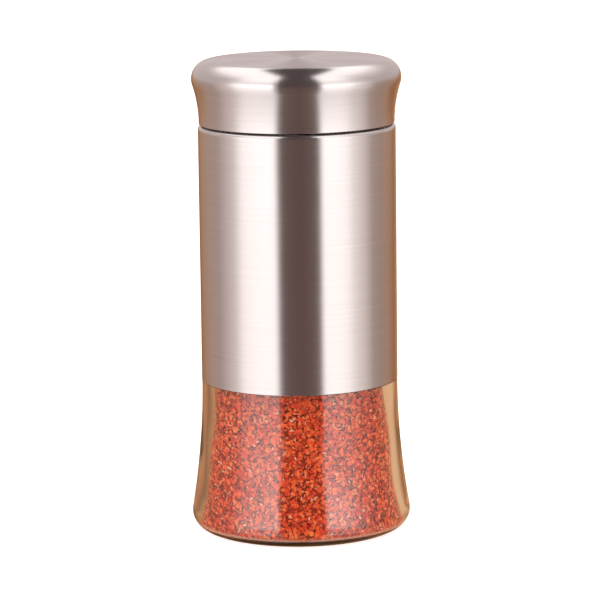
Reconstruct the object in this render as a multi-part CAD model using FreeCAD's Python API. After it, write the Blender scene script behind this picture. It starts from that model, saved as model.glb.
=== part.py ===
"""A table shaker for chilli flakes.

A flared glass jar stands in a brushed steel sleeve. A perforated shaker head screws on the jar's neck, and
a steel cover lifts off the head.

Millimetres. +Z is up, and the origin is the middle of the ring that the jar stands on.
The head unscrews on a four-start thread, the dial on the head turns its window over two sets of holes or a
blank stretch, and the cover pulls straight up. Each piece has its own function below and its own file.
"""

import os
import FreeCAD, Part
from math import atan2, cos, degrees, hypot, pi, radians, sin, sqrt

Vector = FreeCAD.Vector
axis_up = Vector(0, 0, 1)
origin = Vector(0, 0, 0)

# Whole object
overall_height = 140.0
cover_height = 18.95
seam_gap = 0.4

# How far a cutter runs past the faces that it cuts
cut_past = 1.0

# Steel sleeve
sleeve_radius = 29.05
sleeve_wall = 0.5
sleeve_bottom_height = 45.0
sleeve_corner_radius = 1.2
sleeve_mouth_clearance = 0.35
glue_gap = 0.45
glue_play = 0.02
glue_band_height = 8.0
glue_band_inset = 6.0

# Glass jar
base_flare = 3.4
heel_radius = 5.3
standing_ring_width = 2.6
punt_height = 0.6
punt_edge_radius = 0.8
ledge_inset = 0.05
jar_wall = 3.55
base_wall = 2.9
floor_thickness = 2.4
inner_heel_radius = 1.6
inner_flare_rise = 15.0
shoulder_radius = 6.0
shoulder_gap = 0.05
shoulder_wall = 4.0
inner_shoulder_radius = 5.0
neck_wall = 3.5
neck_root_radius = 0.8
bore_edge_radius = 1.5
rim_radius = 0.8

# Chilli flakes, as one filled volume
flake_gap = 0.25
headspace_height = 16.0
mound_height = 2.0

# Screw thread between the neck and the head
thread_starts = 4
thread_pitch = 4.0
thread_depth = 1.1
thread_root_width = 1.7
thread_crest_width = 0.8
thread_span = 80.0
thread_clearance = 0.3
thread_overlap = 0.4
thread_run_out = 0.3
thread_sections = 9

# Neck seal
seal_thickness = 1.2
seal_bore_margin = 0.3
seal_edge_margin = 0.5
seat_gap = 0.05

# Shaker head
head_wall = 2.0
head_clearance = 0.4
head_skirt_lift = 0.6
plate_thickness = 1.5
grip_groove_count = 36
grip_groove_radius = 0.5
grip_groove_depth = 0.35
grip_groove_height = 5.0
head_edge_radius = 0.4

# Holes in the head's plate, each set as a list of ring radius and angles off the set's middle
fine_hole_radius = 1.6
fine_inner_ring_radius = 11.0
fine_outer_ring_radius = 15.0
fine_holes = [(fine_inner_ring_radius, [-13, 13]), (fine_outer_ring_radius, [-29, -9.7, 9.7, 29])]
coarse_hole_radius = 2.7
coarse_ring_radius = 13.3
coarse_holes = [(coarse_ring_radius, [-27, 0, 27])]
hole_set_step = 120.0
window_angle_at_rest = 270.0

# Selector dial
dial_thickness = 1.25
dial_side_clearance = 0.3
head_rim_width = 2.75
window_inner_radius = 9.0
window_outer_radius = 17.2
window_span = 80.0
window_corner_radius = 1.2
tab_height = 1.7
tab_width = 2.4
tab_inner_radius = 9.5
tab_end_clearance = 1.5
tab_top_radius = 0.6

# Stop peg on the plate and its slot in the dial
peg_radius = 0.8
peg_height = 0.8
peg_root = 0.5
peg_circle_radius = 7.0
peg_angle = 300.0
peg_play = 0.2
dial_travel = 240.0

# Pin that the dial turns on
pin_radius = 2.0
pin_play = 0.06
pin_fit = 0.02
pin_head_radius = 3.8
pin_head_height = 1.1
pin_barb_radius = 2.7
pin_barb_height = 1.4
pin_slit_width = 0.7

# Steel cover
cover_waist_inset = 0.3
cover_flare = 1.75
cover_wall = 0.6
cover_corner_radius = 5.4
cover_crown = 0.3
cover_straight_height = 0.3
steel_edge_radius = 0.2

# Plastic liner in the cover
liner_fit = 0.05
liner_wall = 1.2
liner_rib_depth = 1.9
liner_rib_thickness = 1.2
liner_rib_count = 12
liner_rib_root = 0.3
liner_flange_height = 1.4
liner_top_thickness = 1.0
liner_bottom_lift = 0.45
liner_seat_width = 2.2
liner_edge_radius = 0.3
tab_headroom = 0.5
cover_glue_thickness = 0.25
cover_glue_radius = 14.0
cover_glue_play = 0.02

# Seal in the liner that grips the head
grip_seal_height = 1.4
grip_seal_drop = 4.2
grip_groove_in_liner = 0.7
grip_seal_play = 0.06
grip_seal_fit = 0.02
grip_seal_lip_radius = 0.25

# Radii, worked inwards from the sleeve
sleeve_bore = sleeve_radius - sleeve_wall
jar_radius = sleeve_bore - glue_gap
jar_bore = jar_radius - jar_wall
base_radius = sleeve_radius + base_flare
window_radius = sleeve_radius - ledge_inset
cover_waist_radius = sleeve_radius - cover_waist_inset
cover_bore = cover_waist_radius - cover_wall
cover_flare_radius = sleeve_radius + cover_flare
liner_radius = cover_bore - liner_fit
liner_skirt_radius = liner_radius - liner_rib_depth
liner_bore = liner_skirt_radius - liner_wall
head_radius = liner_bore - head_clearance
head_bore = head_radius - head_wall
thread_crest_radius = head_bore - thread_clearance
neck_radius = thread_crest_radius - thread_depth
neck_bore = neck_radius - neck_wall
sleeve_mouth_radius = thread_crest_radius + sleeve_mouth_clearance
dial_radius = head_radius - head_rim_width - dial_side_clearance
tab_outer_radius = dial_radius - tab_end_clearance
thread_lead = thread_pitch * thread_starts

# Heights, worked downwards from the top of the cover
seam_height = overall_height - cover_height
inner_flare_height = sleeve_bottom_height + inner_flare_rise
liner_top = overall_height - cover_wall - cover_crown - cover_glue_thickness
liner_under = liner_top - liner_top_thickness
tab_top = liner_under - tab_headroom
dial_top = tab_top - tab_height
dial_bottom = dial_top - dial_thickness
plate_top = dial_bottom - seat_gap
plate_bottom = plate_top - plate_thickness
seal_top = plate_bottom - seat_gap
seal_bottom = seal_top - seal_thickness
rim_height = seal_bottom - seat_gap
sleeve_top = seam_height - seam_gap
shoulder_height = sleeve_top - sleeve_wall - shoulder_gap
inner_top = shoulder_height - shoulder_wall
fill_height = inner_top - headspace_height - mound_height
head_bottom = seam_height + head_skirt_lift
liner_bottom = seam_height + liner_bottom_lift
thread_middle = (shoulder_height + neck_root_radius + rim_height - rim_radius) / 2


def point(radius, height):
    """A point of an outline: radius runs along X and height along Z, in the XZ plane."""
    return Vector(radius, 0, height)


def rounded_corner(before, corner, after, radius):
    """Start, middle and end of the arc that rounds a corner between two straight runs."""
    to_before = (before - corner).normalize()
    to_after = (after - corner).normalize()
    half_angle = to_before.getAngle(to_after) / 2
    reach = radius * cos(half_angle) / sin(half_angle)
    to_centre = (to_before + to_after).normalize()
    middle = corner + to_centre * (radius / sin(half_angle) - radius)
    return corner + to_before * reach, middle, corner + to_after * reach


def outline_face(steps):
    """A flat face inside a closed outline of steps.

    A step is (radius, height) for a sharp corner, (radius, height, rounding) for a rounded one, or
    ("arc", middle, end) for an arc that runs from the step before it through middle to end.
    """
    corners = []
    for step in steps:
        if step[0] == "arc":
            corners.append((point(*step[2]), 0, point(*step[1])))
        else:
            corners.append((point(*step[:2]), step[2] if len(step) > 2 else 0, None))
    edges = []
    leaves = []
    for number, (place, rounding, _) in enumerate(corners):
        before = corners[number - 1][0]
        after = corners[(number + 1) % len(corners)][0]
        if rounding:
            arc_start, arc_middle, arc_end = rounded_corner(before, place, after, rounding)
            leaves.append((arc_start, arc_end, Part.Arc(arc_start, arc_middle, arc_end).toShape()))
        else:
            leaves.append((place, place, None))
    for number, (_, _, arc_through) in enumerate(corners):
        run_start = leaves[number - 1][1]
        run_end = leaves[number][0]
        if arc_through is not None:
            edges.append(Part.Arc(run_start, arc_through, run_end).toShape())
        elif run_start.distanceToPoint(run_end) > 1e-6:
            edges.append(Part.makeLine(run_start, run_end))
        if leaves[number][2] is not None:
            edges.append(leaves[number][2])
    return Part.Face(Part.Wire(Part.__sortEdges__(edges)))


def turned(steps):
    """A solid of revolution about Z from a closed outline, as outline_face takes it."""
    return outline_face(steps).revolve(origin, axis_up, 360).Solids[0]


def arc_between(centre, radius, start, end):
    """Middle point of the short arc about centre from start to end, as (radius, height)."""
    first = atan2(start[1] - centre[1], start[0] - centre[0])
    last = atan2(end[1] - centre[1], end[0] - centre[0])
    turn = (last - first + pi) % (2 * pi) - pi
    middle = first + turn / 2
    return centre[0] + radius * cos(middle), centre[1] + radius * sin(middle)


def flare_between(waist, waist_height, round_centre, round_radius):
    """Where a hollow curve, upright at the waist, runs smoothly into a round edge.

    Gives the hollow curve's middle point and the point where it meets the round edge.
    """
    step_in = waist - round_centre[0]
    rise = waist_height - round_centre[1]
    hollow_radius = (step_in**2 + rise**2 - round_radius**2) / (2 * (round_radius - step_in))
    hollow_centre = (waist + hollow_radius, waist_height)
    share = round_radius / (hollow_radius + round_radius)
    meeting = (
        round_centre[0] + share * (hollow_centre[0] - round_centre[0]),
        round_centre[1] + share * (hollow_centre[1] - round_centre[1]),
    )
    middle = arc_between(hollow_centre, hollow_radius, (waist, waist_height), meeting)
    return middle, meeting


def annulus(inner_radius, outer_radius, bottom, top, rounding=0.0):
    """A plain ring about Z with a rectangular section and rounded edges."""
    return turned([
        (inner_radius, bottom, rounding),
        (outer_radius, bottom, rounding),
        (outer_radius, top, rounding),
        (inner_radius, top, rounding),
    ])


def around(shape, angle):
    """A copy of shape turned about Z by angle, in degrees."""
    copy = shape.copy()
    copy.rotate(origin, axis_up, angle)
    return copy


def upright_hole(ring_radius, angle, radius, bottom, top):
    """A round cutter parallel to Z on a ring about Z."""
    place = Vector(ring_radius * cos(radians(angle)), ring_radius * sin(radians(angle)), bottom)
    return Part.makeCylinder(radius, top - bottom, place, axis_up)


def ring_sector(inner_radius, outer_radius, start_angle, span, bottom, top):
    """A sector of a ring about Z, from start_angle through span degrees."""
    section = outline_face([
        (inner_radius, bottom),
        (outer_radius, bottom),
        (outer_radius, top),
        (inner_radius, top),
    ])
    return around(section.revolve(origin, axis_up, span).Solids[0], start_angle)


def upright_edges(shape, least_length, least_radius, most_radius):
    """The straight edges of a shape that stand parallel to Z between two radii."""
    found = []
    for edge in shape.Edges:
        low, high = (vertex.Point for vertex in (edge.Vertexes[0], edge.Vertexes[-1]))
        across = hypot(high.x - low.x, high.y - low.y)
        radius = hypot(low.x, low.y)
        if across < 1e-6 and abs(high.z - low.z) > least_length and least_radius < radius < most_radius:
            found.append(edge)
    return found


def thread_ridge(root_radius, crest_radius, middle_height):
    """One start of the screw thread: a tapered ridge that climbs as it turns, with run-out ends."""
    outward = 1 if crest_radius > root_radius else -1
    buried = root_radius - outward * thread_overlap
    wires = []
    for number in range(thread_sections):
        share = number / (thread_sections - 1)
        angle = radians(thread_span * (share - 0.5))
        height = middle_height + thread_lead * angle / (2 * pi)
        fade = min(1.0, (0.5 - abs(share - 0.5)) * (thread_sections - 1) / 2)
        depth = thread_run_out + (abs(crest_radius - root_radius) - thread_run_out) * fade
        crest = root_radius + outward * depth
        section = [
            (buried, height - thread_root_width / 2),
            (crest, height - thread_crest_width / 2),
            (crest, height + thread_crest_width / 2),
            (buried, height + thread_root_width / 2),
        ]
        corners = [Vector(r * cos(angle), r * sin(angle), z) for r, z in section]
        wires.append(Part.makePolygon(corners + corners[:1]))
    return Part.makeLoft(wires, True, False)


def all_starts(ridge):
    """Every start of the thread, spaced evenly about Z."""
    return [around(ridge, number * 360 / thread_starts) for number in range(thread_starts)]


def glass_jar():
    """The moulded glass jar: a standing ring, a flared foot, a ledge for the sleeve, a body and a neck."""
    heel_centre = (base_radius - heel_radius, heel_radius)
    ring_inner = heel_centre[0] - standing_ring_width
    flare_middle, flare_foot = flare_between(window_radius, sleeve_bottom_height, heel_centre, heel_radius)
    heel_middle = arc_between(heel_centre, heel_radius, (heel_centre[0], 0), flare_foot)
    shoulder_centre = (jar_radius - shoulder_radius, shoulder_height - shoulder_radius)
    shoulder_end = (shoulder_centre[0], shoulder_height)
    shoulder_start = (jar_radius, shoulder_centre[1])
    shoulder_middle = arc_between(shoulder_centre, shoulder_radius, shoulder_start, shoulder_end)
    inner_centre = (jar_bore - inner_shoulder_radius, inner_top - inner_shoulder_radius)
    inner_end = (jar_bore, inner_centre[1])
    inner_start = (inner_centre[0], inner_top)
    inner_middle = arc_between(inner_centre, inner_shoulder_radius, inner_start, inner_end)
    wall_foot, wall_middle, bottom_middle, bottom_edge = inside_flare(0.0)
    jar = turned([
        (0, punt_height),
        (ring_inner - punt_height, punt_height, punt_edge_radius),
        (ring_inner, 0),
        (heel_centre[0], 0),
        ("arc", heel_middle, flare_foot),
        ("arc", flare_middle, (window_radius, sleeve_bottom_height)),
        (jar_radius, sleeve_bottom_height),
        shoulder_start,
        ("arc", shoulder_middle, shoulder_end),
        (neck_radius, shoulder_height, neck_root_radius),
        (neck_radius, rim_height, rim_radius),
        (neck_bore, rim_height, rim_radius),
        (neck_bore, inner_top, bore_edge_radius),
        inner_start,
        ("arc", inner_middle, inner_end),
        (jar_bore, inner_flare_height),
        ("arc", wall_middle, wall_foot),
        ("arc", bottom_middle, bottom_edge),
        (0, floor_thickness),
    ])
    ridge = thread_ridge(neck_radius, thread_crest_radius, thread_middle)
    return jar.fuse(all_starts(ridge))


def inside_flare(gap):
    """Foot and middle of the jar's inner flare, then middle and end of its inner heel.

    All of them lie gap inside the glass.
    """
    heel_centre = (base_radius - base_wall - inner_heel_radius, floor_thickness + inner_heel_radius)
    heel_size = inner_heel_radius - gap
    middle, foot = flare_between(jar_bore - gap, inner_flare_height, heel_centre, heel_size)
    heel_end = (heel_centre[0], floor_thickness + gap)
    heel_middle = arc_between(heel_centre, heel_size, foot, heel_end)
    return foot, middle, heel_middle, heel_end


def chilli_flakes():
    """The filling as one volume, just inside the glass, with a low mound on top."""
    fill_radius = jar_bore - flake_gap
    wall_foot, wall_middle, bottom_middle, bottom_edge = inside_flare(flake_gap)
    mound_radius = (fill_radius**2 + mound_height**2) / (2 * mound_height)
    mound_top = fill_height + mound_height
    mound_middle_radius = fill_radius / 2
    mound_middle = mound_top - mound_radius + sqrt(mound_radius**2 - mound_middle_radius**2)
    return turned([
        (0, floor_thickness + flake_gap),
        (0, mound_top),
        ("arc", (mound_middle_radius, mound_middle), (fill_radius, fill_height)),
        (fill_radius, inner_flare_height),
        ("arc", wall_middle, wall_foot),
        ("arc", bottom_middle, bottom_edge),
    ])


def steel_sleeve():
    """The drawn steel tube round the jar, turned in at the top over the jar's shoulder."""
    return turned([
        (sleeve_bore, sleeve_bottom_height, steel_edge_radius),
        (sleeve_radius, sleeve_bottom_height, steel_edge_radius),
        (sleeve_radius, sleeve_top, sleeve_corner_radius),
        (sleeve_mouth_radius, sleeve_top, steel_edge_radius),
        (sleeve_mouth_radius, sleeve_top - sleeve_wall, steel_edge_radius),
        (sleeve_bore, sleeve_top - sleeve_wall, sleeve_corner_radius - sleeve_wall),
    ])


def sleeve_glue(bottom):
    """A band of glue between the jar and the sleeve."""
    return annulus(jar_radius + glue_play, sleeve_bore - glue_play, bottom, bottom + glue_band_height)


def sleeve_glue_lower():
    return sleeve_glue(sleeve_bottom_height + glue_band_inset)


def sleeve_glue_upper():
    return sleeve_glue(shoulder_height - shoulder_radius - glue_band_inset - glue_band_height)


def neck_seal():
    """The silicone ring between the jar's rim and the head."""
    return annulus(neck_bore + seal_bore_margin, head_bore - seal_edge_margin, seal_bottom, seal_top)


def hole_set(sets, radius, middle_angle):
    """Cutters for one set of holes in the plate."""
    cutters = []
    for ring_radius, angles in sets:
        for angle in angles:
            cutters.append(
                upright_hole(
                    ring_radius, middle_angle + angle, radius, plate_bottom - cut_past, plate_top + cut_past
                )
            )
    return cutters


def shaker_head():
    """The moulded head: a threaded skirt with grip grooves, and a plate with holes, a raised rim and a peg."""
    rim_inner = head_radius - head_rim_width
    head = turned([
        (0, plate_bottom),
        (0, plate_top),
        (rim_inner, plate_top),
        (rim_inner, dial_top, head_edge_radius),
        (head_radius, dial_top, head_edge_radius),
        (head_radius, head_bottom, head_edge_radius),
        (head_bore, head_bottom, head_edge_radius),
        (head_bore, plate_bottom),
    ])
    ridge = thread_ridge(head_bore, neck_radius + thread_clearance, thread_middle)
    turn_between = around(ridge, 180 / thread_starts)
    head = head.fuse(all_starts(turn_between))
    peg_bottom = plate_top - peg_root
    peg = upright_hole(peg_circle_radius, peg_angle, peg_radius, peg_bottom, plate_top + peg_height)
    head = head.fuse(peg)
    cutters = hole_set(fine_holes, fine_hole_radius, window_angle_at_rest + hole_set_step)
    cutters += hole_set(coarse_holes, coarse_hole_radius, window_angle_at_rest + 2 * hole_set_step)
    cutters.append(
        upright_hole(0, 0, pin_radius + pin_fit, plate_bottom - cut_past, plate_top + cut_past)
    )
    groove_ring = head_radius + grip_groove_radius - grip_groove_depth
    for number in range(grip_groove_count):
        angle = number * 360 / grip_groove_count
        cutters.append(
            upright_hole(
                groove_ring,
                angle,
                grip_groove_radius,
                head_bottom - cut_past,
                head_bottom + grip_groove_height,
            )
        )
    return head.cut(cutters)


def selector_dial():
    """The dial: a disc with one window, a slot for the stop peg and a finger tab opposite the window."""
    dial = annulus(pin_radius + pin_play, dial_radius, dial_bottom, dial_top)
    window_start = window_angle_at_rest - window_span / 2
    window = ring_sector(
        window_inner_radius,
        window_outer_radius,
        window_start,
        window_span,
        dial_bottom - cut_past,
        dial_top + cut_past,
    )
    corner_edges = upright_edges(
        window, dial_thickness, window_inner_radius - cut_past, window_outer_radius + cut_past
    )
    window = window.makeFillet(window_corner_radius, corner_edges)
    peg_reach = degrees((peg_radius + peg_play) / peg_circle_radius)
    slot_span = dial_travel + 2 * peg_reach
    slot = ring_sector(
        peg_circle_radius - peg_radius - peg_play,
        peg_circle_radius + peg_radius + peg_play,
        peg_angle - dial_travel - peg_reach,
        slot_span,
        dial_bottom - cut_past,
        dial_top + cut_past,
    )
    tab = Part.makeBox(
        tab_outer_radius - tab_inner_radius,
        tab_width,
        tab_height + dial_thickness / 2,
        Vector(tab_inner_radius, -tab_width / 2, dial_top - dial_thickness / 2),
    )
    top_edges = [edge for edge in tab.Edges if edge.BoundBox.ZMin > tab_top - 1e-6]
    tab = tab.makeFillet(tab_top_radius, top_edges)
    return dial.cut([window, slot]).fuse(around(tab, window_angle_at_rest + 180))


def dial_pin():
    """The snap pin: a low head over the dial, a plain shank and a split barb under the plate."""
    head_bottom_height = dial_top + seat_gap
    barb_top = plate_bottom - seat_gap
    barb_bottom = barb_top - pin_barb_height
    pin = turned([
        (0, barb_bottom),
        (pin_radius - pin_fit, barb_bottom),
        (pin_barb_radius, barb_top),
        (pin_radius, barb_top),
        (pin_radius, head_bottom_height),
        (pin_head_radius, head_bottom_height),
        (pin_head_radius, head_bottom_height + pin_head_height, pin_head_height / 2),
        (0, head_bottom_height + pin_head_height),
    ])
    slit = Part.makeBox(
        4 * pin_barb_radius,
        pin_slit_width,
        plate_bottom + plate_thickness / 2 - barb_bottom + cut_past,
        Vector(-2 * pin_barb_radius, -pin_slit_width / 2, barb_bottom - cut_past),
    )
    return pin.cut(slit)


def cover_crown_radius():
    """Radius of the crowned top, which meets the cover's round shoulder smoothly."""
    reach = cover_flare_radius - cover_corner_radius
    drop = cover_corner_radius + cover_crown
    return (reach**2 + drop**2 - cover_corner_radius**2) / (2 * cover_crown)


def cover_wall_steps(inset):
    """Half of the cover's outline, from the waist to the crown, inset inwards from the outer surface."""
    corner_centre = (
        cover_flare_radius - cover_corner_radius,
        overall_height - cover_crown - cover_corner_radius,
    )
    corner_size = cover_corner_radius - inset
    waist = cover_waist_radius - inset
    waist_height = seam_height + cover_straight_height
    flare_middle, flare_end = flare_between(waist, waist_height, corner_centre, corner_size)
    crown_centre = (0, overall_height - cover_crown_radius())
    reach = hypot(corner_centre[0], corner_centre[1] - crown_centre[1])
    corner_end = (
        corner_centre[0] * (1 + corner_size / reach),
        corner_centre[1] + (corner_centre[1] - crown_centre[1]) * corner_size / reach,
    )
    corner_middle = arc_between(corner_centre, corner_size, flare_end, corner_end)
    crown_top = (0, overall_height - inset)
    crown_middle = arc_between(crown_centre, cover_crown_radius() - inset, corner_end, crown_top)
    return [
        (waist, waist_height),
        ("arc", flare_middle, flare_end),
        ("arc", corner_middle, corner_end),
        ("arc", crown_middle, crown_top),
    ]


def filled_cover(inset):
    """The cover's outline as a filled solid, inset inwards from the outer surface."""
    waist = cover_waist_radius - inset
    return turned([(0, seam_height), (waist, seam_height)] + cover_wall_steps(inset))


def cover_shell():
    """The drawn steel cover: straight waist, flared side, round shoulder and a slightly crowned top."""
    shell = filled_cover(0).cut(filled_cover(cover_wall))
    rim_edges = [edge for edge in shell.Edges if edge.BoundBox.ZMax < seam_height + 1e-6]
    return shell.makeFillet(steel_edge_radius, rim_edges)


def cover_liner():
    """The moulded liner: a cup over the head, with a flange, outer ribs, a seat ring and a seal groove."""
    groove_top = dial_top - grip_seal_drop + grip_seal_height / 2 + seat_gap
    groove_bottom = groove_top - grip_seal_height - 2 * seat_gap
    groove_radius = liner_bore + grip_groove_in_liner
    seat_under = dial_top + 2 * seat_gap
    seat_inner = liner_bore - liner_seat_width
    liner = turned([
        (0, liner_under),
        (0, liner_top),
        (liner_skirt_radius, liner_top, liner_edge_radius),
        (liner_skirt_radius, liner_bottom + liner_flange_height),
        (liner_radius, liner_bottom + liner_flange_height, liner_edge_radius),
        (liner_radius, liner_bottom, liner_edge_radius),
        (liner_bore, liner_bottom, liner_edge_radius),
        (liner_bore, groove_bottom),
        (groove_radius, groove_bottom),
        (groove_radius, groove_top),
        (liner_bore, groove_top),
        (liner_bore, seat_under),
        (seat_inner, seat_under),
        (seat_inner, liner_under),
    ])
    rib_bottom = liner_bottom + liner_flange_height / 2
    rib = Part.makeBox(
        liner_rib_depth + liner_rib_root,
        liner_rib_thickness,
        dial_top - rib_bottom,
        Vector(liner_skirt_radius - liner_rib_root, -liner_rib_thickness / 2, rib_bottom),
    )
    rib = rib.common(Part.makeCylinder(liner_radius, overall_height))
    ribs = [around(rib, number * 360 / liner_rib_count) for number in range(liner_rib_count)]
    return liner.fuse(ribs)


def cover_seal():
    """The silicone ring in the liner that grips the head's side and holds the cover on."""
    middle = dial_top - grip_seal_drop
    inner = head_radius + grip_seal_play
    outer = liner_bore + grip_groove_in_liner - grip_seal_fit
    return turned([
        (inner, middle - grip_seal_height / 2, grip_seal_lip_radius),
        (outer, middle - grip_seal_height / 2),
        (outer, middle + grip_seal_height / 2),
        (inner, middle + grip_seal_height / 2, grip_seal_lip_radius),
    ])


def cover_glue():
    """The disc of glue between the liner and the crowned top of the steel cover."""
    glue_top = overall_height - cover_wall - cover_glue_play
    crown_radius = cover_crown_radius() - cover_wall - cover_glue_play
    edge_top = glue_top - crown_radius + sqrt(crown_radius**2 - cover_glue_radius**2)
    middle_radius = cover_glue_radius / 2
    middle_top = glue_top - crown_radius + sqrt(crown_radius**2 - middle_radius**2)
    return turned([
        (0, liner_top),
        (cover_glue_radius, liner_top),
        (cover_glue_radius, edge_top),
        ("arc", (middle_radius, middle_top), (0, glue_top)),
    ])


pieces = {
    "glass_jar": glass_jar,
    "chilli_flakes": chilli_flakes,
    "steel_sleeve": steel_sleeve,
    "sleeve_glue_lower": sleeve_glue_lower,
    "sleeve_glue_upper": sleeve_glue_upper,
    "neck_seal": neck_seal,
    "shaker_head": shaker_head,
    "selector_dial": selector_dial,
    "dial_pin": dial_pin,
    "cover_shell": cover_shell,
    "cover_liner": cover_liner,
    "cover_seal": cover_seal,
    "cover_glue": cover_glue,
}


def write_pieces():
    """Makes every piece, says its size and writes its file."""
    os.makedirs("parts", exist_ok=True)
    for name, make in pieces.items():
        shape = make()
        solids = shape.Solids
        closed = all(solid.isValid() and solid.isClosed() for solid in solids)
        box = shape.optimalBoundingBox(False, False)
        print(
            f"{name}: {len(solids)} solid, closed {closed}, volume {shape.Volume:.1f}, "
            f"radius {box.XMax:.2f}, height {box.ZMin:.2f} to {box.ZMax:.2f}"
        )
        shape.exportStep(f"parts/{name}.step")


write_pieces()
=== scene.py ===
"""A table shaker for chilli flakes, dressed for its picture.

The glass jar is a turned surface with the faint waves of pressed glass. Its filling is nearly fifty
thousand separate bits of dried chilli, packed against the glass. The steel sleeve and cover, the shaker head
and the small parts are the frame's own nodes, with new finishes. Everything is in metres.
"""

from math import atan2, pi, radians, sin, tau

import bpy
import numpy as np
from mathutils import Matrix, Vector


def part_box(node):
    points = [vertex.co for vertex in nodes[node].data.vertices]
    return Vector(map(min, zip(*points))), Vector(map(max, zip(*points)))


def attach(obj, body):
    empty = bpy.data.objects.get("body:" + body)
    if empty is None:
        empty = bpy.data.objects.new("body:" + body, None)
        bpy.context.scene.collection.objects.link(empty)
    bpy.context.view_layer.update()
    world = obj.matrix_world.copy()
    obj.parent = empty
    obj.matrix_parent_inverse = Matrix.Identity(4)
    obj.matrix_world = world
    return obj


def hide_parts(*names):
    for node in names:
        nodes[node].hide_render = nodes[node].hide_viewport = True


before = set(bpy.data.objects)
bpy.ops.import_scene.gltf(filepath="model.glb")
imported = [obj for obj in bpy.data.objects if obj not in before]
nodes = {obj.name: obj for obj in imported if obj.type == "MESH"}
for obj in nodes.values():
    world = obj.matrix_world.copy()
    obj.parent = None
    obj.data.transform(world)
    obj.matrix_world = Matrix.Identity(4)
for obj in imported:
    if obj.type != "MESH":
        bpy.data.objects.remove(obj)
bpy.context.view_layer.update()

mm = 0.001

# Outer sizes, read off the frame
jar_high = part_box("glass_jar")[1]
sleeve_low, sleeve_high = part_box("steel_sleeve")
filling_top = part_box("chilli_flakes")[1].z
base_radius = jar_high.x
rim_height = jar_high.z
sleeve_radius = sleeve_high.x
ledge_height = sleeve_low.z

# Outside of the jar
heel_radius = 5.3 * mm
standing_ring_width = 2.6 * mm
punt_height = 0.6 * mm
ledge_inset = 0.05 * mm
sleeve_wall = 0.5 * mm
glue_gap = 0.45 * mm
shoulder_radius = 6.0 * mm
shoulder_drop = 0.55 * mm
neck_inset = 7.85 * mm
neck_root_radius = 0.8 * mm
rim_radius = 0.8 * mm
neck_radius = sleeve_radius - neck_inset
body_radius = sleeve_radius - sleeve_wall - glue_gap
window_radius = sleeve_radius - ledge_inset
shoulder_height = sleeve_high.z - shoulder_drop

# Inside of the jar
jar_wall = 3.55 * mm
base_wall = 2.9 * mm
floor_height = 2.4 * mm
inner_heel_radius = 1.6 * mm
inner_flare_rise = 15.0 * mm
inner_shoulder_radius = 5.0 * mm
shoulder_wall = 4.0 * mm
neck_wall = 3.5 * mm
bore_edge_radius = 1.5 * mm
bore_radius = neck_radius - neck_wall
body_bore = body_radius - jar_wall
inner_top = shoulder_height - shoulder_wall
inner_flare_height = ledge_height + inner_flare_rise
wave_fade = 6 * mm

# Screw thread on the neck
thread_starts = 4
thread_lead = 16.0 * mm
thread_depth = 1.1 * mm
thread_root_width = 1.7 * mm
thread_crest_width = 0.8 * mm
thread_span = radians(80)
thread_middle = (shoulder_height + neck_root_radius + rim_height - rim_radius) / 2

# Filling
glass_gap = 0.16 * mm
packed_depth = 2.6 * mm
core_depth = 0.9 * packed_depth
packed_height = ledge_height + 6.0 * mm
mound_height = 2.0 * mm


def linear(hex_colour):
    """A colour written as sRGB hex, as linear red, green, blue and alpha."""
    parts = np.array([int(hex_colour[i : i + 2], 16) / 255 for i in (1, 3, 5)])
    plain = np.where(parts <= 0.04045, parts / 12.92, ((parts + 0.055) / 1.055) ** 2.4)
    return (*plain.tolist(), 1.0)


def node(tree, kind, settings=None, inputs=None):
    """Adds a node with its settings, and gives each input a value or a link from another node's socket.

    The setting stops is a colour ramp's list of places and sRGB hex colours.
    """
    made = tree.nodes.new("ShaderNode" + kind)
    for name, value in (settings or {}).items():
        if name == "stops":
            elements = made.color_ramp.elements
            while len(elements) < len(value):
                elements.new(0.5)
            for element, (place, colour) in zip(elements, value):
                element.position = place
                element.color = linear(colour)
        else:
            setattr(made, name, value)
    for name, value in (inputs or {}).items():
        if isinstance(value, bpy.types.NodeSocket):
            tree.links.new(value, made.inputs[name])
        else:
            made.inputs[name].default_value = value
    return made


def new_material(name):
    """An empty material: its tree and its output node."""
    material = bpy.data.materials.new(name)
    material.use_nodes = True
    tree = material.node_tree
    tree.nodes.clear()
    return material, tree, node(tree, "OutputMaterial")


def run(start, end, spacing):
    """Points along the straight line from start to end, evenly spaced, without the last."""
    start, end = np.array(start), np.array(end)
    count = max(1, round(float(np.linalg.norm(end - start)) / spacing))
    return start + (np.arange(count) / count)[:, None] * (end - start)


def arc(centre, radius, first, last, spacing):
    """Points on a circle about centre, from the angle first to the angle last, without the last."""
    count = max(3, round(abs(last - first) * radius / spacing))
    angles = first + np.arange(count) / count * (last - first)
    return np.stack([centre[0] + radius * np.cos(angles), centre[1] + radius * np.sin(angles)], axis=1)


def flare(waist, waist_height, round_centre, round_radius):
    """The hollow arc that is upright at the waist and runs smoothly into a round edge.

    Its centre lies level with the waist, as far out as makes the distance between the two centres the sum of
    the two radii. Gives its centre, its radius and the angle, about the round edge's centre, at which they
    meet.
    """
    step_in = waist - round_centre[0]
    rise = waist_height - round_centre[1]
    radius = (step_in**2 + rise**2 - round_radius**2) / (2 * (round_radius - step_in))
    centre = (waist + radius, waist_height)
    return centre, radius, atan2(centre[1] - round_centre[1], centre[0] - round_centre[0])


outer_heel = (base_radius - heel_radius, heel_radius)
outer_flare = flare(window_radius, ledge_height, outer_heel, heel_radius)
inner_heel = (base_radius - base_wall - inner_heel_radius, floor_height + inner_heel_radius)
inner_flare = flare(body_bore, inner_flare_height, inner_heel, inner_heel_radius)


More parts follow.
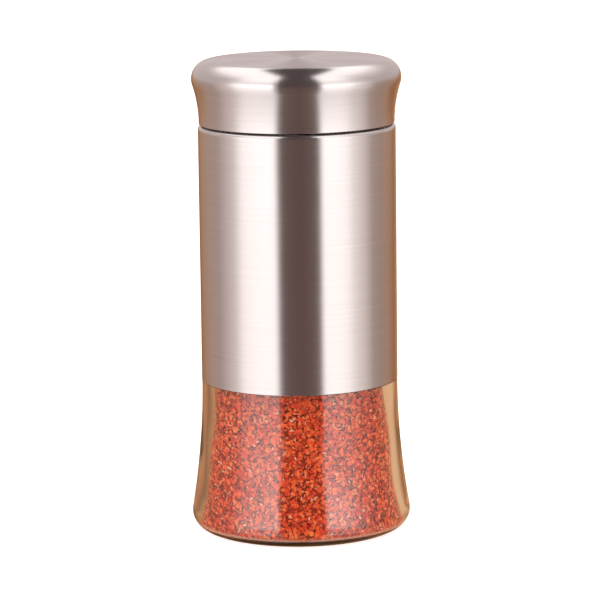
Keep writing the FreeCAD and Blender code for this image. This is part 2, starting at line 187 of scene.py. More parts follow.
def wall_radius(height):
    """Radius of the inner wall at each height: the heel's circle, the hollow arc, then a straight bore."""
    centre, radius, meeting = inner_flare
    meeting_height = inner_heel[1] + inner_heel_radius * sin(meeting)
    below = np.clip(height, floor_height, meeting_height) - inner_heel[1]
    heel_part = inner_heel[0] + np.sqrt(np.maximum(inner_heel_radius**2 - below**2, 0))
    arc_height = np.clip(height, meeting_height, centre[1]) - centre[1]
    flare_part = centre[0] - np.sqrt(radius**2 - arc_height**2)
    return np.where(height < meeting_height, heel_part, flare_part)


def mesh_object(name, points, faces, smooth_below=35.0):
    """A mesh piece from points and blocks of triangles or quads, smooth but for edges over the angle."""
    mesh = bpy.data.meshes.new(name)
    points = np.asarray(points, dtype=np.float32)
    sizes = np.array([len(block[0]) for block in faces for _ in range(len(block))], dtype=np.int32)
    corners = np.concatenate([np.asarray(block, dtype=np.int32).ravel() for block in faces])
    mesh.vertices.add(len(points))
    mesh.vertices.foreach_set("co", points.ravel())
    mesh.loops.add(len(corners))
    mesh.loops.foreach_set("vertex_index", corners)
    mesh.polygons.add(len(sizes))
    starts = np.concatenate([[0], np.cumsum(sizes)[:-1]]).astype(np.int32)
    mesh.polygons.foreach_set("loop_start", starts)
    mesh.update(calc_edges=True)
    mesh.validate()
    mesh.shade_smooth()
    mesh.set_sharp_from_angle(angle=radians(smooth_below))
    piece = bpy.data.objects.new(name, mesh)
    bpy.context.collection.objects.link(piece)
    return piece


def turned_surface(name, profile, around, radius_shift=None):
    """A surface of revolution about Z.

    The point at row i and column j is (r cos a, r sin a, z), with r and z the profile's radius and height at
    i and a the column's angle, tau j / around. radius_shift(angle, radius, height), where given, is added to
    r. The profile begins and ends on the axis, where a fan closes each pole.
    """
    angles = np.arange(around) / around * tau
    radius = np.repeat(profile[1:-1, :1], around, axis=1)
    height = np.repeat(profile[1:-1, 1:], around, axis=1)
    if radius_shift is not None:
        radius = radius + radius_shift(angles[None, :], radius, height)
    grid = np.stack([radius * np.cos(angles), radius * np.sin(angles), height], axis=2).reshape(-1, 3)
    rows = len(profile) - 2
    row, column = np.meshgrid(np.arange(rows - 1), np.arange(around), indexing="ij")
    following = (column + 1) % around
    quads = np.stack(
        [
            row * around + column,
            row * around + following,
            (row + 1) * around + following,
            (row + 1) * around + column,
        ],
        axis=2,
    ).reshape(-1, 4)
    first_pole = rows * around
    last_pole = first_pole + 1
    ring = np.arange(around)
    after = (ring + 1) % around
    last_row = (rows - 1) * around
    first_fan = np.stack([np.full(around, first_pole), after, ring], axis=1)
    last_fan = np.stack([np.full(around, last_pole), last_row + ring, last_row + after], axis=1)
    poles = np.array([[0, 0, profile[0, 1]], [0, 0, profile[-1, 1]]])
    return mesh_object(name, np.concatenate([grid, poles]), [quads, np.concatenate([first_fan, last_fan])])


def jar_profile():
    """The jar's section, from the middle of the punt, up the outside, and down the inside to the floor."""
    fine, coarse = 0.35 * mm, 1.6 * mm
    ring_inner = outer_heel[0] - standing_ring_width
    flare_centre, flare_radius, flare_meeting = outer_flare
    bore_centre, bore_flare_radius, bore_meeting = inner_flare
    flare_start = flare_meeting - pi
    return np.concatenate([
        run((0, punt_height), (ring_inner - punt_height, punt_height), 2 * coarse),
        run((ring_inner - punt_height, punt_height), (ring_inner, 0), fine),
        run((ring_inner, 0), (outer_heel[0], 0), coarse),
        arc(outer_heel, heel_radius, -pi / 2, flare_meeting, fine),
        arc(flare_centre, flare_radius, flare_start + tau, pi, coarse),
        run((window_radius, ledge_height), (body_radius, ledge_height), fine),
        run((body_radius, ledge_height), (body_radius, shoulder_height - shoulder_radius), 4 * coarse),
        arc(
            (body_radius - shoulder_radius, shoulder_height - shoulder_radius),
            shoulder_radius,
            0,
            pi / 2,
            2 * fine,
        ),
        arc(
            (neck_radius + neck_root_radius, shoulder_height + neck_root_radius),
            neck_root_radius,
            1.5 * pi,
            pi,
            fine,
        ),
        run(
            (neck_radius, shoulder_height + neck_root_radius),
            (neck_radius, rim_height - rim_radius),
            0.4 * fine,
        ),
        arc((neck_radius - rim_radius, rim_height - rim_radius), rim_radius, 0, pi / 2, fine),
        arc((bore_radius + rim_radius, rim_height - rim_radius), rim_radius, pi / 2, pi, fine),
        run((bore_radius, rim_height - rim_radius), (bore_radius, inner_top + bore_edge_radius), coarse),
        arc(
            (bore_radius + bore_edge_radius, inner_top + bore_edge_radius),
            bore_edge_radius,
            pi,
            1.5 * pi,
            fine,
        ),
        arc(
            (body_bore - inner_shoulder_radius, inner_top - inner_shoulder_radius),
            inner_shoulder_radius,
            pi / 2,
            0,
            2 * fine,
        ),
        run((body_bore, inner_top - inner_shoulder_radius), (body_bore, inner_flare_height), 2 * coarse),
        arc(bore_centre, bore_flare_radius, pi, bore_meeting + pi, 0.6 * coarse),
        arc(inner_heel, inner_heel_radius, bore_meeting, -pi / 2, fine),
        run((inner_heel[0], floor_height), (0, floor_height), coarse),
        np.array([[0, floor_height]]),
    ])


def faded(height, low, high):
    """A share that is one between two heights, and falls to nothing over the last wave_fade before each."""
    return np.clip((height - low) / wave_fade, 0, 1) * np.clip((high - height) / wave_fade, 0, 1)


def jar_shift(angle, radius, height):
    """What the jar's radius gains: the screw thread on the neck and the slow waves of pressed glass.

    Each start of the thread is a ridge whose middle climbs by the lead in a turn; its depth falls from the
    crest's edge to the root's, and fades at both ends. A wave is a sine of a whole number of turns round the
    jar plus a phase that climbs with height, so it closes on itself. Wave heights are in millimetres.
    """
    depth = np.zeros_like(radius)
    on_neck = (height > shoulder_height + neck_root_radius / 2) & (radius > neck_radius - 0.01 * mm)
    for start in range(thread_starts):
        turn = (angle - start * tau / thread_starts + pi) % tau - pi
        away = np.abs(height - thread_middle - thread_lead * turn / tau)
        slope = (thread_root_width / 2 - away) / ((thread_root_width - thread_crest_width) / 2)
        fade = (thread_span / 2 - np.abs(turn)) / (thread_span / 8)
        depth = np.maximum(depth, thread_depth * np.clip(slope, 0, 1) * np.clip(fade, 0, 1))
    inner_wall = (radius < wall_radius(height) + 0.05 * mm) & (height > inner_heel[1]) & (height < inner_top)
    inner_wave = (
        0.055 * np.sin(3 * angle + height / (9 * mm))
        + 0.04 * np.sin(5 * angle - height / (6 * mm) + 1.3)
        + 0.025 * np.sin(9 * angle + height / (4 * mm) + 2.9)
    )
    outer_wave = 0.02 * np.sin(4 * angle + height / (11 * mm)) + 0.012 * np.sin(7 * angle - height / (8 * mm))
    window = (~inner_wall) & (height > heel_radius) & (height < ledge_height - 1 * mm)
    eased = faded(height, heel_radius, ledge_height)
    inner_eased = faded(height, inner_heel[1], inner_top - inner_shoulder_radius)
    shift = np.where(on_neck, depth, 0)
    shift = shift + np.where(inner_wall, inner_wave * inner_eased * mm, 0)
    return shift + np.where(window, outer_wave * eased * mm, 0)


def soda_lime_glass():
    """Soda-lime glass, pressed and fire-polished: clear and glossy, with a faint grey-green tint.

    Shadow rays and diffuse rays pass straight through, so that the studio's light reaches the filling.
    """
    material, tree, output = new_material("pressed_soda_lime_glass")
    glass = node(
        tree,
        "BsdfPrincipled",
        None,
        {
            "Base Color": linear("#FBFCFA"),
            "Roughness": 0.0,
            "IOR": 1.52,
            "Transmission Weight": 1.0,
        },
    )
    clear = node(tree, "BsdfTransparent", None, {"Color": linear("#FDFEFC")})
    ray = node(tree, "LightPath")
    passes = node(
        tree,
        "Math",
        {"operation": "MAXIMUM"},
        {0: ray.outputs["Is Shadow Ray"], 1: ray.outputs["Is Diffuse Ray"]},
    )
    mixed = node(tree, "MixShader", None, {0: passes.outputs[0], 1: glass.outputs[0], 2: clear.outputs[0]})
    tree.links.new(mixed.outputs[0], output.inputs["Surface"])
    return material


def brushed_stainless(name, follows_profile):
    """Stainless sheet, brushed round the axis: pinkish grey, with streaks of light that run along the axis.

    The brushing is noise that is drawn out round the axis, in the tone and in the roughness, with wider bands
    in the roughness. Real scratches are some 0.05 mm apart; they are drawn 0.4 mm apart so that they show. On
    the cover the lines follow circles on its top too, so they are counted along the profile, by height less
    radius.
    """
    scratch_spacing, scratch_length = 0.4 * mm, 40 * mm
    band_stretch = (12, 12, 1 / (6 * mm))
    material, tree, output = new_material(name)
    place = node(tree, "TexCoord").outputs["Object"]
    if follows_profile:
        parts = node(tree, "SeparateXYZ", None, {0: place})
        flat = node(tree, "VectorMath", {"operation": "MULTIPLY"}, {0: place, 1: (1, 1, 0)})
        radius = node(tree, "VectorMath", {"operation": "LENGTH"}, {0: flat.outputs[0]})
        along = node(
            tree, "Math", {"operation": "SUBTRACT"}, {0: parts.outputs["Z"], 1: radius.outputs["Value"]}
        )
        joined = node(
            tree,
            "CombineXYZ",
            None,
            {"X": parts.outputs["X"], "Y": parts.outputs["Y"], "Z": along.outputs[0]},
        )
        place = joined.outputs[0]
    stretch = (1 / scratch_length, 1 / scratch_length, 1 / scratch_spacing)
    drawn = node(tree, "Mapping", None, {"Vector": place, "Scale": stretch})
    lines = node(
        tree,
        "TexNoise",
        None,
        {"Vector": drawn.outputs[0], "Scale": 1.0, "Detail": 2.0, "Roughness": 0.5},
    )
    wide = node(tree, "Mapping", None, {"Vector": place, "Scale": band_stretch})
    bands = node(tree, "TexNoise", None, {"Vector": wide.outputs[0], "Scale": 1.0, "Detail": 1.0})
    tone = node(
        tree, "ValToRGB", {"stops": [(0.25, "#C1B9B8"), (0.75, "#C6BEBD")]}, {"Fac": lines.outputs["Fac"]}
    )
    mixed_lines = node(
        tree,
        "Math",
        {"operation": "MULTIPLY_ADD"},
        {0: bands.outputs["Fac"], 1: 0.5, 2: lines.outputs["Fac"]},
    )
    roughness = node(
        tree,
        "MapRange",
        None,
        {"Value": mixed_lines.outputs[0], "From Min": 0.4, "From Max": 1.1, "To Min": 0.2, "To Max": 0.25},
    )
    round_axis = node(tree, "Tangent", {"direction_type": "RADIAL", "axis": "Z"})
    steel = node(
        tree,
        "BsdfPrincipled",
        None,
        {
            "Base Color": tone.outputs["Color"],
            "Metallic": 1.0,
            "Roughness": roughness.outputs["Result"],
            "Anisotropic": 0.8,
            "Anisotropic Rotation": 0.25,
            "Tangent": round_axis.outputs[0],
        },
    )
    tree.links.new(steel.outputs[0], output.inputs["Surface"])
    return material


def moulded_plastic(name, colour, shade, roughness, grain, subsurface):
    """Injection-moulded plastic: even colour, a soft sheen and the fine grain that the mould leaves."""
    material, tree, output = new_material(name)
    place = node(tree, "TexCoord").outputs["Object"]
    cloud = node(tree, "TexNoise", None, {"Vector": place, "Scale": 1 / (7 * mm), "Detail": 2.0})
    fine = node(tree, "TexNoise", None, {"Vector": place, "Scale": 1 / grain, "Detail": 2.0})
    tone = node(tree, "ValToRGB", {"stops": [(0.3, shade), (0.7, colour)]}, {"Fac": cloud.outputs["Fac"]})
    gloss = node(
        tree,
        "MapRange",
        None,
        {"Value": fine.outputs["Fac"], "To Min": roughness - 0.06, "To Max": roughness + 0.06},
    )
    bump = node(tree, "Bump", None, {"Strength": 0.25, "Distance": 0.03 * mm, "Height": fine.outputs["Fac"]})
    plastic = node(
        tree,
        "BsdfPrincipled",
        None,
        {
            "Base Color": tone.outputs["Color"],
            "Roughness": gloss.outputs["Result"],
            "IOR": 1.49,
            "Subsurface Weight": subsurface,
            "Subsurface Radius": (1.0, 0.9, 0.8),
            "Subsurface Scale": 1.0 * mm,
            "Normal": bump.outputs[0],
        },
    )
    tree.links.new(plastic.outputs[0], output.inputs["Surface"])
    return material


def cured_glue():
    """Clear cured glue: a pale, slightly yellow film with a wet gloss."""
    material, tree, output = new_material("cured_clear_glue")
    place = node(tree, "TexCoord").outputs["Object"]
    cloud = node(tree, "TexNoise", None, {"Vector": place, "Scale": 1 / (3 * mm), "Detail": 2.0})
    film_tones = [(0.3, "#D9D2BE"), (0.7, "#E6E2D4")]
    tone = node(tree, "ValToRGB", {"stops": film_tones}, {"Fac": cloud.outputs["Fac"]})
    bump = node(tree, "Bump", None, {"Strength": 0.3, "Distance": 0.1 * mm, "Height": cloud.outputs["Fac"]})
    glue = node(
        tree,
        "BsdfPrincipled",
        None,
        {
            "Base Color": tone.outputs["Color"],
            "Roughness": 0.15,
            "IOR": 1.5,
            "Transmission Weight": 0.4,
            "Normal": bump.outputs[0],
        },
    )
    tree.links.new(glue.outputs[0], output.inputs["Surface"])
    return material


def dried_chilli(name, stops, roughness, wrinkle):
    """Dried chilli, crushed: waxy skin or dull flesh, with the fine wrinkles that drying leaves.

    Each bit has its own tone, kept in the attribute tone from 0 to 1, and a mottling finer than the bit is
    added to it.
    """
    material, tree, output = new_material(name)
    place = node(tree, "TexCoord").outputs["Object"]
    own = node(tree, "Attribute", {"attribute_name": "tone"})
    mottle = node(tree, "TexNoise", None, {"Vector": place, "Scale": 1 / (0.9 * mm), "Detail": 3.0})
    shifted = node(
        tree, "Math", {"operation": "MULTIPLY_ADD"}, {0: mottle.outputs["Fac"], 1: 0.5, 2: own.outputs["Fac"]}
    )
    centred = node(tree, "Math", {"operation": "SUBTRACT"}, {0: shifted.outputs[0], 1: 0.25})
    tone = node(tree, "ValToRGB", {"stops": stops}, {"Fac": centred.outputs[0]})
    folds = node(tree, "TexNoise", None, {"Vector": place, "Scale": 1 / wrinkle, "Detail": 3.0})
    bump = node(tree, "Bump", None, {"Strength": 0.6, "Distance": 0.15 * mm, "Height": folds.outputs["Fac"]})
    bit = node(
        tree,
        "BsdfPrincipled",
        None,
        {
            "Base Color": tone.outputs["Color"],
            "Roughness": roughness,
            "IOR": 1.45,
            "Specular IOR Level": 0.3,
            "Normal": bump.outputs[0],
        },
    )
    tree.links.new(bit.outputs[0], output.inputs["Surface"])
    return material


def filling_surface(radius):
    """Height of the top of the filling at each radius: a low dome."""
    return filling_top - mound_height * (radius / body_bore) ** 2


def packed_places(count, rng):
    """Places in the filling that can be seen, and the direction that the nearest glass or open air lies in.

    A share of them lies along the wall, a share on the floor and a share on top, in proportion to their
    areas, and each lies at a random depth.
    """
    floor_radius = inner_heel[0] + 1.5 * mm
    areas = np.array([
        tau * window_radius * (packed_height - floor_height),
        pi * floor_radius**2,
        pi * body_bore**2,
    ])
    zone = rng.choice(3, count, p=areas / areas.sum())
    angle = rng.uniform(0, tau, count)
    depth = packed_depth * rng.uniform(0, 1, count) ** 1.4
    wall_height = rng.uniform(floor_height, packed_height, count)
    across = np.sqrt(rng.uniform(0, 1, count))
    radius = np.select(
        [zone == 0, zone == 1],
        [wall_radius(wall_height) - depth, across * floor_radius],
        across * (body_bore - 0.5 * mm),
    )
    height = np.select(
        [zone == 0, zone == 1],
        [wall_height, floor_height + depth],
        filling_surface(radius) - depth,
    )
    outward = np.stack([np.cos(angle), np.sin(angle), np.zeros(count)], axis=1)
    facing = np.select([zone[:, None] == 0, zone[:, None] == 1], [outward, [0, 0, -1.0]], [0, 0, 1.0])
    places = np.stack([radius * np.cos(angle), radius * np.sin(angle), height], axis=1)
    return places, facing, depth / packed_depth


def unit(vectors):
    """Each row at length one."""
    return vectors / np.linalg.norm(vectors, axis=1, keepdims=True)


def chilli_bits(name, count, length, breadth, thickness, curl, corners, seed):
    """Crushed bits of chilli, each a thin, curled, many-cornered flake.

    A flake's outline has its corners at even angles on an ellipse, each moved in or out at random. Its height
    above its own plane is curl times the square of the distance along it, plus a random twist times the
    product of both distances. It has a front and a back, a thickness apart, with a raised middle. It lies
    nearly along the glass, and leans more the deeper it lies; what would pass through the glass is pressed
    back against it.
    """
    least_lean, deep_lean = 0.45, 0.7
    ragged_range = (0.68, 1.12)
    edge_thinness = 0.55
    rng = np.random.default_rng(seed)
    places, facing, share = packed_places(count, rng)
    lean = least_lean + deep_lean * share[:, None]
    normal = unit(facing + lean * rng.normal(0, 0.5, (count, 3)))
    across = unit(np.cross(normal, rng.normal(0, 1, (count, 3))))
    along = np.cross(normal, across)
    half_length = rng.uniform(*length, count)[:, None] / 2
    half_breadth = half_length * rng.uniform(*breadth, count)[:, None]
    angles = np.arange(corners) / corners * tau + rng.uniform(0, tau, (count, 1))
    ragged = rng.uniform(*ragged_range, (count, corners))
    u = np.concatenate([half_length * np.cos(angles) * ragged, np.zeros((count, 1))], axis=1)
    v = np.concatenate([half_breadth * np.sin(angles) * ragged, np.zeros((count, 1))], axis=1)
    bend = rng.uniform(-curl, curl, (count, 1)) / half_length
    twist = rng.uniform(-0.5 * curl, 0.5 * curl, (count, 1)) / half_length
    lift = bend * u**2 + twist * u * v
    half_thickness = np.full((count, corners + 1), 0.5) * rng.uniform(*thickness, (count, 1))
    half_thickness[:, :-1] *= edge_thinness
    layers = [lift + half_thickness, lift - half_thickness]
    points = np.stack(
        [
            places[:, None]
            + u[..., None] * along[:, None]
            + v[..., None] * across[:, None]
            + w[..., None] * normal[:, None]
            for w in layers
        ],
        axis=1,
    ).reshape(-1, 3)
    points = pressed_inside(points)
    ring = np.arange(corners)
    after = (ring + 1) % corners
    back = corners + 1
    front_fan = np.stack([ring, after, np.full(corners, corners)], axis=1)
    back_fan = np.stack([back + after, back + ring, np.full(corners, back + corners)], axis=1)
    edge = np.stack([ring, back + ring, back + after, after], axis=1)
    first = np.arange(count)[:, None, None] * 2 * (corners + 1)
    triangles = (np.concatenate([front_fan, back_fan])[None] + first).reshape(-1, 3)
    quads = (edge[None] + first).reshape(-1, 4)
    piece = mesh_object(name, points, [quads, triangles], smooth_below=50)
    tone = piece.data.attributes.new("tone", "FLOAT", "POINT")
    tone.data.foreach_set("value", np.repeat(rng.uniform(0, 1, count), 2 * (corners + 1)).astype(np.float32))
    return piece


def pressed_inside(points):
    """Moves points that would pass the glass back inside: towards the axis, and up at the floor."""
    height = np.maximum(points[:, 2], floor_height + glass_gap)
    radius = np.hypot(points[:, 0], points[:, 1])
    scale = np.minimum(1, (wall_radius(height) - glass_gap) / np.maximum(radius, 1e-9))
    return np.stack([points[:, 0] * scale, points[:, 1] * scale, height], axis=1)


def filling_core():
    """The filling behind the bits that are seen, as one turned form under them."""
    lump_height = 0.12 * mm
    lowest = floor_height + core_depth
    heights = np.linspace(lowest, packed_height, 40)
    side = np.stack([wall_radius(heights) - core_depth, heights], axis=1)
    top_radius = body_bore - glass_gap
    upper = np.linspace(packed_height + 2 * mm, filling_surface(top_radius) - 2 * mm, 20)
    upper_side = np.stack([np.full(20, top_radius), upper], axis=1)
    across = np.linspace(top_radius - 1 * mm, 0, 16)
    top = np.stack([across, filling_surface(across) - 0.75 * packed_depth], axis=1)
    bottom = np.array([[0, lowest], [side[0, 0] * 0.5, lowest]])
    profile = np.concatenate([bottom, side, upper_side, top])
    rng = np.random.default_rng(5)
    phases = rng.uniform(0, tau, 12)

    def lumps(angle, radius, height):
        """Lumps on the core: sines of many turns round it, with phases that climb with height."""
        total = 0
        for number, phase in enumerate(phases):
            turns = 7 + 5 * number
            total = total + np.sin(turns * angle + (1 - 2 * (number % 2)) * height / (1.1 * mm) + phase)
        return lump_height * total / 3

    return turned_surface("chilli_core", profile, 160, lumps)


def dress_filling():
    """Puts the core and the bits of chilli in place of the filling's solid.

    Each kind has its name, how many there are, the range of its length in millimetres, of its breadth as a
    share of the length and of its thickness in millimetres, its curl, corners and seed, its tones and its
    roughness.
    """
    waxy, dull = 0.45, 0.6
    kinds = [
        ("scarlet_chilli_skins", 9900, (0.8, 2.0), (0.5, 0.95), (0.15, 0.3), 0.2, 5, 11,
         [(0.1, "#E03008"), (0.5, "#F04414"), (0.9, "#F85E26")], waxy),
        ("red_chilli_skins", 7500, (0.8, 2.0), (0.5, 0.95), (0.15, 0.3), 0.2, 5, 16,
         [(0.1, "#CE2608"), (0.5, "#E2360E"), (0.9, "#F04A1A")], waxy),
        ("orange_chilli_skins", 9500, (0.7, 1.9), (0.45, 0.95), (0.15, 0.3), 0.2, 5, 12,
         [(0.1, "#F0521A"), (0.5, "#F86426"), (0.9, "#FC7A38")], waxy),
        ("dark_chilli_skins", 3600, (0.8, 1.9), (0.5, 0.95), (0.15, 0.3), 0.25, 5, 13,
         [(0.1, "#8E1A0A"), (0.5, "#B02810"), (0.9, "#CC3C1C")], waxy),
        ("chilli_flesh_slivers", 6000, (0.7, 1.9), (0.25, 0.5), (0.15, 0.3), 0.2, 5, 14,
         [(0.1, "#F06C40"), (0.5, "#F68C66"), (0.9, "#FAB294")], dull),
        ("chilli_crumbs", 12000, (0.4, 0.9), (0.6, 1.0), (0.2, 0.45), 0.1, 4, 17,
         [(0.1, "#DE3C10"), (0.5, "#F2561C"), (0.9, "#F87838")], dull),
        ("chilli_seeds", 60, (1.5, 1.9), (0.75, 0.95), (0.4, 0.6), 0.05, 8, 15,
         [(0.1, "#EE8036"), (0.5, "#F4924A"), (0.9, "#F8AC6C")], dull),
    ]
    pieces = []
    core = filling_core()
    core_tones = [(0.1, "#D02C08"), (0.9, "#EC4412")]
    core.data.materials.append(dried_chilli("packed_chilli", core_tones, dull, 0.8 * mm))
    pieces.append(core)
    for name, count, length, breadth, thickness, curl, corners, seed, stops, roughness in kinds:
        scaled = tuple(value * mm for value in length)
        thin = tuple(value * mm for value in thickness)
        piece = chilli_bits(name, count, scaled, breadth, thin, curl, corners, seed)
        piece.data.materials.append(dried_chilli("dried_" + name, stops, roughness, 0.5 * mm))
        pieces.append(piece)
    for piece in pieces:
        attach(piece, "jar")
        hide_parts("chilli_flakes")


def dress_jar():
    """Puts the turned glass in place of the jar's solid."""
    jar = turned_surface("pressed_glass_jar", jar_profile(), 192, jar_shift)
    jar.data.materials.append(soda_lime_glass())
    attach(jar, "jar")
    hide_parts("glass_jar")


def dress_nodes():
    """Gives the frame's own nodes their finishes."""
    polypropylene = moulded_plastic("moulded_white_polypropylene", "#F1EFE9", "#E9E7E0", 0.4, 0.5 * mm, 0.15)
    finishes = {
        "steel_sleeve": brushed_stainless("brushed_stainless_sleeve", False),
        "cover_shell": brushed_stainless("brushed_stainless_cover", True),
        "shaker_head": polypropylene,
        "dial_pin": polypropylene,
        "cover_liner": polypropylene,
        "selector_dial": moulded_plastic("moulded_grey_acetal", "#5A5B5D", "#4F5052", 0.42, 0.4 * mm, 0.0),
        "neck_seal": moulded_plastic("silicone_rubber", "#DEDFDF", "#D2D4D4", 0.6, 0.8 * mm, 0.2),
        "cover_seal": moulded_plastic("silicone_rubber_grip", "#DEDFDF", "#D2D4D4", 0.6, 0.8 * mm, 0.2),
        "sleeve_glue_lower": cured_glue(),
        "sleeve_glue_upper": cured_glue(),
        "cover_glue": cured_glue(),
    }
    for name, material in finishes.items():
        for slot in nodes[name].material_slots:
            slot.material = material


# The studio round the object. Places are azimuths in degrees, 0 on the camera's side and 90 on the right

# Tones under the horizon
table_tones = [
    (-180, "#B98458"),
    (-158, "#9C6038"),
    (-146, "#B98A62"),
    (-126, "#D0B29E"),
    (-107, "#CBB8B1"),
    (-92, "#F2E2DA"),
    (-24, "#A09290"),
    (-16, "#84706A"),
    (4, "#7C665F"),
    (20, "#8A756E"),
    (29, "#A09290"),
    (84, "#F6E8E0"),
    (98, "#CDB9B0"),
    (112, "#C3AA9D"),
    (128, "#CDA488"),
    (142, "#A86E44"),
    (152, "#C9996C"),
    (180, "#B98458"),
]
# Tones over the horizon
room_tones = [
    (-180, "#DCCECE"),
    (-92, "#EAE0DC"),
    (-24, "#8A7C79"),
    (-16, "#5E5254"),
    (20, "#665A5C"),
    (29, "#8A7C79"),
    (84, "#EAE0DC"),
    (180, "#DCCECE"),
]
# How much of the softboxes' light comes from each azimuth: a grey stands for its linear share of white
softbox_edges = [
    (-92, "#000000"),
    (-80, "#616161"),
    (-67, "#B1B1B1"),
    (-50, "#C5C5C5"),
    (-27, "#D1D1D1"),
    (-21, "#000000"),
    (25, "#000000"),
    (30, "#D1D1D1"),
    (48, "#C5C5C5"),
    (60, "#B3B3B3"),
    (70, "#868686"),
    (84, "#454545"),
    (96, "#000000"),
]
# Their level in the same greys, as a share of the brightest, by a direction's height: -1 is down and 1 is up
softbox_levels = [
    (-1.0, "#565656"),
    (-0.6, "#A0A0A0"),
    (-0.45, "#A7A7A7"),
    (-0.17, "#B7B7B7"),
    (0.0, "#C5C5C5"),
    (0.09, "#FFFFFF"),
    (0.15, "#FFFFFF"),
    (0.19, "#A4A4A4"),
    (0.3, "#909090"),
    (0.6, "#C2C2C2"),
    (1.0, "#BCBCBC"),
]
brightest_level = 5.4
# What glass shows of the table, all round
glass_tones = [
    (-180, "#C08A5C"),
    (-150, "#B0734A"),
    (-138, "#84502F"),
    (-126, "#B88054"),
    (-100, "#C68C60"),
    (100, "#CE966A"),
    (126, "#DEA87C"),
    (138, "#E6B68C"),
    (150, "#986240"),
    (180, "#C08A5C"),
]
softbox_colour = "#FBFFFF"
horizon_start, horizon_end = -0.06, 0.08
overhead_start = 0.45
floor_glow = 0.45
tan_floor_reach = 60 * mm


def turn_of(tree, direction):
    """The azimuth of a direction as a share of a turn, from the side away from the camera.

    High up, the softboxes and the gap between them run on over the object: there the way towards the camera
    is never less than the height less overhead_start.
    """
    parts = node(tree, "SeparateXYZ", None, {0: direction})
    forward = node(tree, "Math", {"operation": "MULTIPLY"}, {0: parts.outputs["Y"], 1: -1.0})
    overhead = node(tree, "Math", {"operation": "SUBTRACT"}, {0: parts.outputs["Z"], 1: overhead_start})
    nearer = node(tree, "Math", {"operation": "MAXIMUM"}, {0: forward.outputs[0], 1: overhead.outputs[0]})
    azimuth = node(tree, "Math", {"operation": "ARCTAN2"}, {0: parts.outputs["X"], 1: nearer.outputs[0]})
    turn = node(tree, "MapRange", None, {"Value": azimuth.outputs[0], "From Min": -pi, "From Max": pi})
    return turn.outputs["Result"]


def tones_round(tree, turn, tones):
    """The colour that a list of azimuths and tones gives at a share of a turn."""
    stops = [((azimuth + 180) / 360, colour) for azimuth, colour in tones]
    return node(tree, "ValToRGB", {"stops": stops}, {"Fac": turn}).outputs["Color"]


def studio_light(tree):
    """The light that comes to the object from each direction, as a colour socket.

    Two tall softboxes stand to the left and right of the camera, with a dim gap between them. Their light is
    a share for each azimuth times a level for each height. Round and behind them is a pale room, under the
    horizon a warm table, and what is seen through the glass is the table's tan wood.
    """
    direction = node(tree, "TexCoord").outputs["Generated"]
    turn = turn_of(tree, direction)
    height = node(tree, "SeparateXYZ", None, {0: direction}).outputs["Z"]
    above = node(
        tree, "MapRange", None, {"Value": height, "From Min": horizon_start, "From Max": horizon_end}
    )
    table = tones_round(tree, turn, table_tones)
    room = tones_round(tree, turn, room_tones)
    around = node(tree, "Mix", {"data_type": "RGBA"}, {0: above.outputs["Result"], 6: table, 7: room})
    ray = node(tree, "LightPath")
    wood = tones_round(tree, turn, glass_tones)
    seen = node(
        tree,
        "Mix",
        {"data_type": "RGBA"},
        {0: ray.outputs["Is Transmission Ray"], 6: around.outputs[2], 7: wood},
    )
    climb = node(tree, "MapRange", None, {"Value": height, "From Min": -1.0, "From Max": 1.0})
    stops = [((place + 1) / 2, grey) for place, grey in softbox_levels]
    level = node(tree, "ValToRGB", {"stops": stops}, {"Fac": climb.outputs["Result"]})
    edges = tones_round(tree, turn, softbox_edges)
    lit = node(tree, "VectorMath", {"operation": "MULTIPLY"}, {0: edges, 1: level.outputs["Color"]})
    tint = tuple(brightest_level * part for part in linear(softbox_colour)[:3])
    softbox = node(tree, "VectorMath", {"operation": "MULTIPLY"}, {0: lit.outputs[0], 1: tint})
    total = node(tree, "VectorMath", {"operation": "ADD"}, {0: seen.outputs[2], 1: softbox.outputs[0]})
    return total.outputs[0]


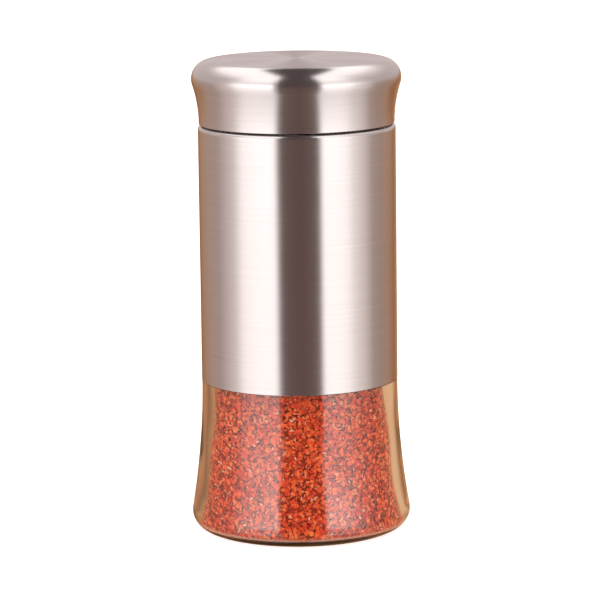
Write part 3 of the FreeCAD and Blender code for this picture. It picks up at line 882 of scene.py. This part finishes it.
def add_floor():
    """A wide white floor that keeps the object's shadow.

    Seen through the glass it is a warm tan near the jar, and further off it gives way to the studio's table,
    as it does wholly in the metal's reflections. To the camera it glows a little, to match the background.
    """
    half = 12.0
    points = [(-half, -half, 0), (half, -half, 0), (half, half, 0), (-half, half, 0)]
    floor = mesh_object("floor", points, [np.array([[0, 1, 2, 3]])])
    material, tree, output = new_material("white_paper_floor")
    place = node(tree, "TexCoord").outputs["Object"]
    cloud = node(tree, "TexNoise", None, {"Vector": place, "Scale": 3.0, "Detail": 2.0})
    white_tones = [(0.3, "#EDEDED"), (0.7, "#F1F1F1")]
    tan_tones = [(0.3, "#EFA688"), (0.7, "#F4B698")]
    white = node(tree, "ValToRGB", {"stops": white_tones}, {"Fac": cloud.outputs["Fac"]})
    tan = node(tree, "ValToRGB", {"stops": tan_tones}, {"Fac": cloud.outputs["Fac"]})
    ray = node(tree, "LightPath")
    colour = node(
        tree,
        "Mix",
        {"data_type": "RGBA"},
        {0: ray.outputs["Is Transmission Ray"], 6: white.outputs["Color"], 7: tan.outputs["Color"]},
    )
    paper = node(tree, "BsdfDiffuse", None, {"Color": colour.outputs[2]})
    glow = node(tree, "Emission", None, {"Color": (1, 1, 1, 1), "Strength": floor_glow})
    both = node(tree, "AddShader", None, {0: paper.outputs[0], 1: glow.outputs[0]})
    lit = node(
        tree, "MixShader", None, {0: ray.outputs["Is Camera Ray"], 1: paper.outputs[0], 2: both.outputs[0]}
    )
    away = node(tree, "VectorMath", {"operation": "LENGTH"}, {0: place})
    far = node(
        tree, "Math", {"operation": "GREATER_THAN"}, {0: away.outputs["Value"], 1: tan_floor_reach}
    )
    passed = node(
        tree, "Math", {"operation": "MULTIPLY"}, {0: far.outputs[0], 1: ray.outputs["Is Transmission Ray"]}
    )
    gone = node(tree, "BsdfTransparent")
    chosen = node(tree, "MixShader", None, {0: passed.outputs[0], 1: lit.outputs[0], 2: gone.outputs[0]})
    tree.links.new(chosen.outputs[0], output.inputs["Surface"])
    floor.data.materials.append(material)
    floor.visible_glossy = False


def set_world():
    """White to the camera, and the studio's light to everything else."""
    world = bpy.data.worlds.new("studio")
    bpy.context.scene.world = world
    world.use_nodes = True
    tree = world.node_tree
    tree.nodes.clear()
    ray = node(tree, "LightPath")
    colour = node(
        tree,
        "Mix",
        {"data_type": "RGBA"},
        {0: ray.outputs["Is Camera Ray"], 6: studio_light(tree), 7: (1, 1, 1, 1)},
    )
    sky = node(tree, "Background", None, {"Color": colour.outputs[2], "Strength": 1.0})
    tree.links.new(sky.outputs[0], node(tree, "OutputWorld").inputs["Surface"])


def set_camera():
    """A long lens, slightly above the object and tilted as the photograph is."""
    distance, height = 0.957, 0.236
    pitch, yaw, roll = radians(9.95), radians(-0.02), radians(-0.7)
    camera = bpy.data.objects.new("camera", bpy.data.cameras.new("camera"))
    camera.data.sensor_width = 36
    camera.data.lens = 196.9
    camera.matrix_world = (
        Matrix.Translation((0, -distance, height))
        @ Matrix.Rotation(yaw, 4, "Z")
        @ Matrix.Rotation(pi / 2 - pitch, 4, "X")
        @ Matrix.Rotation(roll, 4, "Z")
    )
    bpy.context.collection.objects.link(camera)
    bpy.context.scene.camera = camera


bpy.context.scene.view_settings.view_transform = "Standard"
set_camera()
set_world()
add_floor()
dress_jar()
dress_filling()
dress_nodes()
